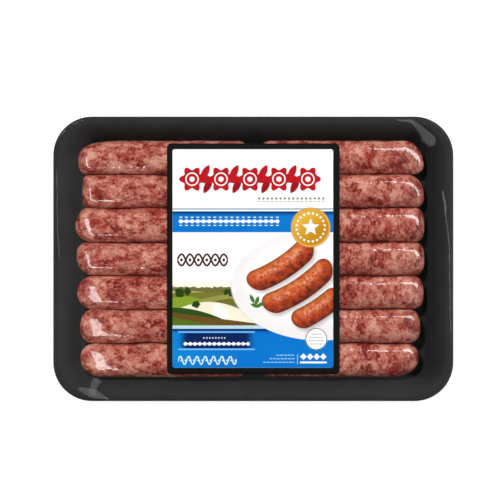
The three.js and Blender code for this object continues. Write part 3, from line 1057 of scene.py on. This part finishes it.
def draw_base(art):
    """The blue field at the bottom, with its navy panel and rows of white marks."""
    left, right, bottom, _ = PANEL
    plate = art.oval(*PLATE)
    off_plate = art.times(plate, -1)
    art.draw(art.both(art.box(left, 12, -37.9, -35.9), off_plate), ink(186, 218, 226))
    field = art.mask(art.both(art.box(left, right, bottom, -37.7), off_plate))
    art.paint(field, BLUE)
    art.paint(art.times(field, art.rise(art.times(art.u, -1), 12, 43)), LIGHT_BLUE)
    edge = art.both(art.off(art.v, -40.3), art.off(-2.0, plate))
    art.paint(art.times(field, art.rise(edge, 0, 2.3)), ink(2, 44, 112))
    panel = art.mask(art.box(-42.5, 3.0, -48.2, -40.0))
    fade = art.math("SUBTRACT", 1.0, art.rise(art.absolute(art.off(art.u, -19.9)), 15.5, 21.5))
    art.paint(art.times(panel, fade), NAVY)
    for height in (-39.45, -48.75):
        art.draw(art.box(-40.4, 0.8, height - 0.4, height + 0.4), PALE_BLUE)
    art.beads(-27.4, -14.6, -42.6, 1.6, 0.46, ink(200, 206, 216))
    art.beads(-37.9, -1.5, -45.8, 2.6, 0.95, WHITE)
    art.beads(-36.6, -2.8, -45.8, 2.6, 0.4, WHITE)
    art.draw(art.wave(-40.4, -9.0, -54.7, 4.48, 2.0, 0.75), WAVE_BLUE)
    art.beads(-39.84, -9.5, -54.7, 2.24, 0.5, WAVE_BLUE)
    for start, height in ((12.2, -51.9), (8.5, -53.8), (5.2, -55.7)):
        art.dashes(start, 22.2, height, 2.0, 1.5, 0.55, ink(150, 200, 240))
    art.draw(art.box(23.65, 24.0, -56.6, -51.4), ink(170, 212, 244))
    x = art.absolute(art.cell(art.u, 25.2, 3.575))
    y = art.absolute(art.off(art.v, -52.7))
    diamond = art.times(art.off(art.math("ADD", x, y), 1.75), 0.707)
    art.draw(art.both(diamond, art.span(art.u, 25.2, 39.5)), WHITE)
    art.draw(art.box(25.2, 39.5, -56.3, -55.3), WHITE)
    reach = art.circle(33.9, -43.2, 5.9)
    art.draw(reach, WHITE)
    art.draw(art.off(art.absolute(art.off(reach, -0.25)), 0.2), ink(52, 58, 70))
    for row, half in enumerate((2.6, 4.0, 4.2, 3.4)):
        art.dashes(33.9 - half, 33.9 + half, -40.6 - 1.75 * row, 1.3, 0.9, 0.5, ink(150, 152, 156))


def label_material():
    """The label's print: fields of colour and plain ornaments, with a black border."""
    art = Print("printed_label")
    draw_garland(art)
    draw_band(art)
    draw_braid(art)
    draw_fields(art)
    draw_plate(art)
    draw_links(art)
    draw_base(art)
    draw_seal(art)
    panel = art.mask(art.round_box(*PANEL, PANEL_CORNER))
    return art.principled(
        Base_Color=art.mix(panel, BORDER, art.colour),
        Roughness=0.42,
        Specular_IOR_Level=0.06,
        Normal=art.bump(art.noise(art.place, 500.0, 2.0), 0.04, 0.0001),
    )


def floor_material():
    shader = Shader("pale_floor")
    speckle = shader.noise(shader.object_place(), 40.0, 2.0)
    return shader.principled(
        Base_Color=shader.ramp(speckle, [(0.0, (0.86, 0.86, 0.86)), (1.0, (0.89, 0.89, 0.89))]),
        Roughness=0.9,
        Specular_IOR_Level=0.0,
        Emission_Color=(1, 1, 1, 1),
        Emission_Strength=FLOOR_GLOW,
    )


# ---- Scene ----

FLOOR_HALF = 3.0
FLOOR_GLOW = 0.72
PHOTO_SIDE = 500  # pixels
PACK_MIDDLE_PX = (253.3, 258.8)  # the tray's middle in the photo
PACK_LENGTH_PX = 400.7
CAMERA_DISTANCE = 2.2
SENSOR = 0.036


def make_floor(material):
    corners = [(x * FLOOR_HALF, y * FLOOR_HALF, 0) for x, y in ((-1, -1), (1, -1), (1, 1), (-1, 1))]
    floor = add_object("floor", corners, [(0, 1, 2, 3)], material, smooth=False)
    floor.visible_glossy = False
    return floor


def make_camera():
    metres_per_px = 2 * HALF_LENGTH / PACK_LENGTH_PX
    middle = Vector((
        (PHOTO_SIDE / 2 - PACK_MIDDLE_PX[0]) * metres_per_px,
        (PACK_MIDDLE_PX[1] - PHOTO_SIDE / 2) * metres_per_px,
        0,
    ))
    data = bpy.data.cameras.new("camera")
    data.sensor_width = SENSOR * 1000
    data.lens = SENSOR * 1000 * CAMERA_DISTANCE / (PHOTO_SIDE * metres_per_px)
    data.clip_start = 0.05
    data.clip_end = 50
    camera = bpy.data.objects.new("camera", data)
    camera.location = middle + Vector((0, 0, RIM_Z + CAMERA_DISTANCE))
    bpy.context.scene.collection.objects.link(camera)
    bpy.context.scene.camera = camera


def add_light(name, size, radiance, turn, place):
    data = bpy.data.lights.new(name, "AREA")
    data.shape = "RECTANGLE"
    data.size, data.size_y = size
    data.energy = radiance * 4 * size[0] * size[1]
    light = bpy.data.objects.new(name, data)
    light.matrix_world = Matrix.Translation(place) @ turn.to_matrix().to_4x4()
    bpy.context.scene.collection.objects.link(light)
    return light


def group(name, pieces):
    collection = bpy.data.collections.new(name)
    for piece in pieces:
        collection.objects.link(piece)
    return collection


def soft_light(name, place, size, radiance, lit=None, shading=None, spared=None):
    """A large light aimed at the pack that isn't seen in reflections. It may be kept to the pieces
    it lights, kept off others, and kept to the pieces that shade it."""
    turn = (-Vector(place)).to_track_quat("-Z", "Y")
    light = add_light(name, size, radiance, turn, Vector(place))
    light.visible_glossy = False
    linking = light.light_linking
    if lit:
        linking.receiver_collection = group(name + "_lit", lit)
    if spared:
        linking.receiver_collection = group(name + "_spared", spared)
        for entry in linking.receiver_collection.collection_objects:
            entry.light_linking.link_state = "EXCLUDE"
    if shading:
        linking.blocker_collection = group(name + "_shading", shading)


def strip_light(name, start, end, breadth, radiance, pieces):
    """A strip between two points that faces the pack and shows only as a reflection in some pieces."""
    along = Vector(end) - Vector(start)
    middle = (Vector(start) + Vector(end)) / 2
    back = middle - middle.project(along)
    up = back.cross(along).normalized()
    turn = Matrix((along.normalized(), up, along.cross(up).normalized())).transposed().to_quaternion()
    light = add_light(name, (along.length, breadth), radiance, turn, middle)
    light.visible_diffuse = False
    light.visible_camera = False
    light.light_linking.receiver_collection = group(name + "_lit", pieces)


def make_lights(links, tray, folds, label):
    right_links = links[ROWS:]
    soft_light("ceiling", (0, 0, 1.7), (3.0, 3.0), 0.48, spared=[tray, *right_links])
    soft_light("ceiling_right", (0, 0.9, 1.45), (3.0, 2.2), 0.6, right_links)
    soft_light("key", (0, 0.95, 1.35), (1.3, 1.1), 2.5, spared=[tray])
    soft_light("side_left", (-1.35, 0.15, 0.75), (0.8, 0.8), 2.5, links, links)
    soft_light("side_right", (1.35, 0.6, 0.75), (0.8, 0.8), 1.2, links, links)
    soft_light("tray_left", (-0.33, 0.55, 1.38), (0.2, 0.2), 265, [tray])
    soft_light("tray_right", (1.25, 0.45, 0.8), (0.25, 0.25), 195, [tray], [tray])
    soft_light("label_light", (0, 0.4, 1.5), (0.5, 0.5), 2.6, [label])
    strip_light("panel_left", (-0.25, 0.10, 0.20), (-0.145, -0.25, 0.20), 0.095, 7.5, links)
    strip_light("strip_low", (-0.17, -0.27, 0.20), (-0.088, -0.27, 0.20), 0.046, 11, links)
    strip_light("strip_right", (0.078, 0.27, 0.21), (0.34, 0.02, 0.07), 0.050, 9.5, links)
    strip_light("crease_light", (-0.8, 0, 1.5), (0.8, 0, 1.5), 1.2, 2.4, folds[:len(CREASES)])
    strip_light("pucker_light", (-0.15, 0.65, 1.5), (0.65, -0.15, 1.5), 1.6, 1.7, folds[len(CREASES):])


ROOM_ZENITH = 0.05  # radiance of the room straight above
ROOM_SIDES = (("X", 1, 0.38), ("X", -1, 0.38), ("Y", 1, 0.1), ("Y", -1, 0.02))  # and what each side adds
SIDE_START, SIDE_FULL = 0.05, 0.55  # lean of a direction towards a side where that begins and is full
HORIZON_FULL = 0.35  # upward lean of a direction from which the room is at its full radiance


def make_world():
    """A dim room with brighter walls, mainly at the pack's ends, that shows white to the camera."""
    world = bpy.data.worlds.new("studio")
    bpy.context.scene.world = world
    world.use_nodes = True
    nodes = Nodes(world.node_tree)
    direction = nodes.add("TexCoord").outputs["Generated"]
    parts = nodes.add("SeparateXYZ", Vector=direction)
    radiance = ROOM_ZENITH
    for axis, sign, extra in ROOM_SIDES:
        towards = nodes.times(parts.outputs[axis], sign)
        radiance = nodes.math("ADD", radiance, nodes.rise(towards, SIDE_START, SIDE_FULL, extra))
    radiance = nodes.times(radiance, nodes.rise(parts.outputs["Z"], 0.0, HORIZON_FULL))
    camera_ray = nodes.add("LightPath").outputs["Is Camera Ray"]
    strength = nodes.math("MAXIMUM", radiance, camera_ray)
    room = nodes.add("Background", Color=(1, 1, 1, 1), Strength=strength)
    nodes.add("OutputWorld", Surface=room.outputs[0])


def place_piece(piece, slot, *nodes):
    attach(piece, "root")
    if nodes:
        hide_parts(*nodes)


def build():
    tray = make_tray(foam_material())
    place_piece(tray, "foam", "tray")
    meat = meat_material()
    links = []
    for side in SIDES:
        for row in range(ROWS):
            link = make_link(side, row, meat)
            place_piece(link, "raw_pork", f"link_{side}_{row + 1}")
            links.append(link)
    grid = relax_film(links)
    film = make_film(grid, film_material())
    place_piece(film, "clear_film", "film")
    folds = []
    for kind, paths, rise in (("crease", CREASES, CREASE_RISE), ("pucker", PUCKERS, PUCKER_RISE)):
        for number, path in enumerate(paths, 1):
            fold = make_crease(f"film_{kind}_{number}", path, rise, grid, film.data.materials[0])
            place_piece(fold, "clear_film")
            folds.append(fold)
    label = make_label(grid, label_material())
    place_piece(label, "printed_label", "label")
    make_floor(floor_material())
    return links, tray, folds, label


links, tray, folds, label = build()
make_camera()
make_lights(links, tray, folds, label)
make_world()
bpy.context.scene.view_settings.view_transform = "Standard"
